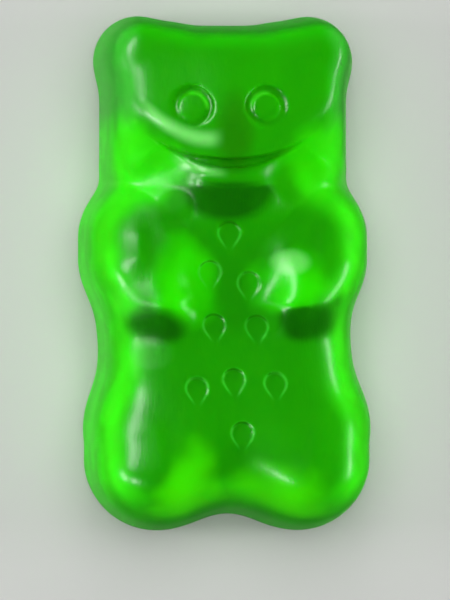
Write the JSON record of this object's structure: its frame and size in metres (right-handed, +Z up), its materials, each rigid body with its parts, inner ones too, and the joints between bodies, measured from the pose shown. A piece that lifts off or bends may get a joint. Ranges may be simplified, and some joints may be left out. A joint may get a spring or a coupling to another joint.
{
  "type": "gummy bear",
  "caption": "Green gummy bear sweet, cast in clear jelly with a flat back, a smiling face, folded paws, stubby legs and drop-shaped fur marks on its belly.",
  "frame": {"origin": "middle of the box round the sweet, on the flat back it lies on", "axes": "+X to the right seen from above, +Y towards the ears, +Z up out of the belly"},
  "size_m": [0.0126, 0.022, 0.0095],
  "materials": {
    "green_jelly": "glossy see-through jelly"
  },
  "bodies": {
    "root": {"gummy_bear": "green_jelly"}
  },
  "joints": []
}
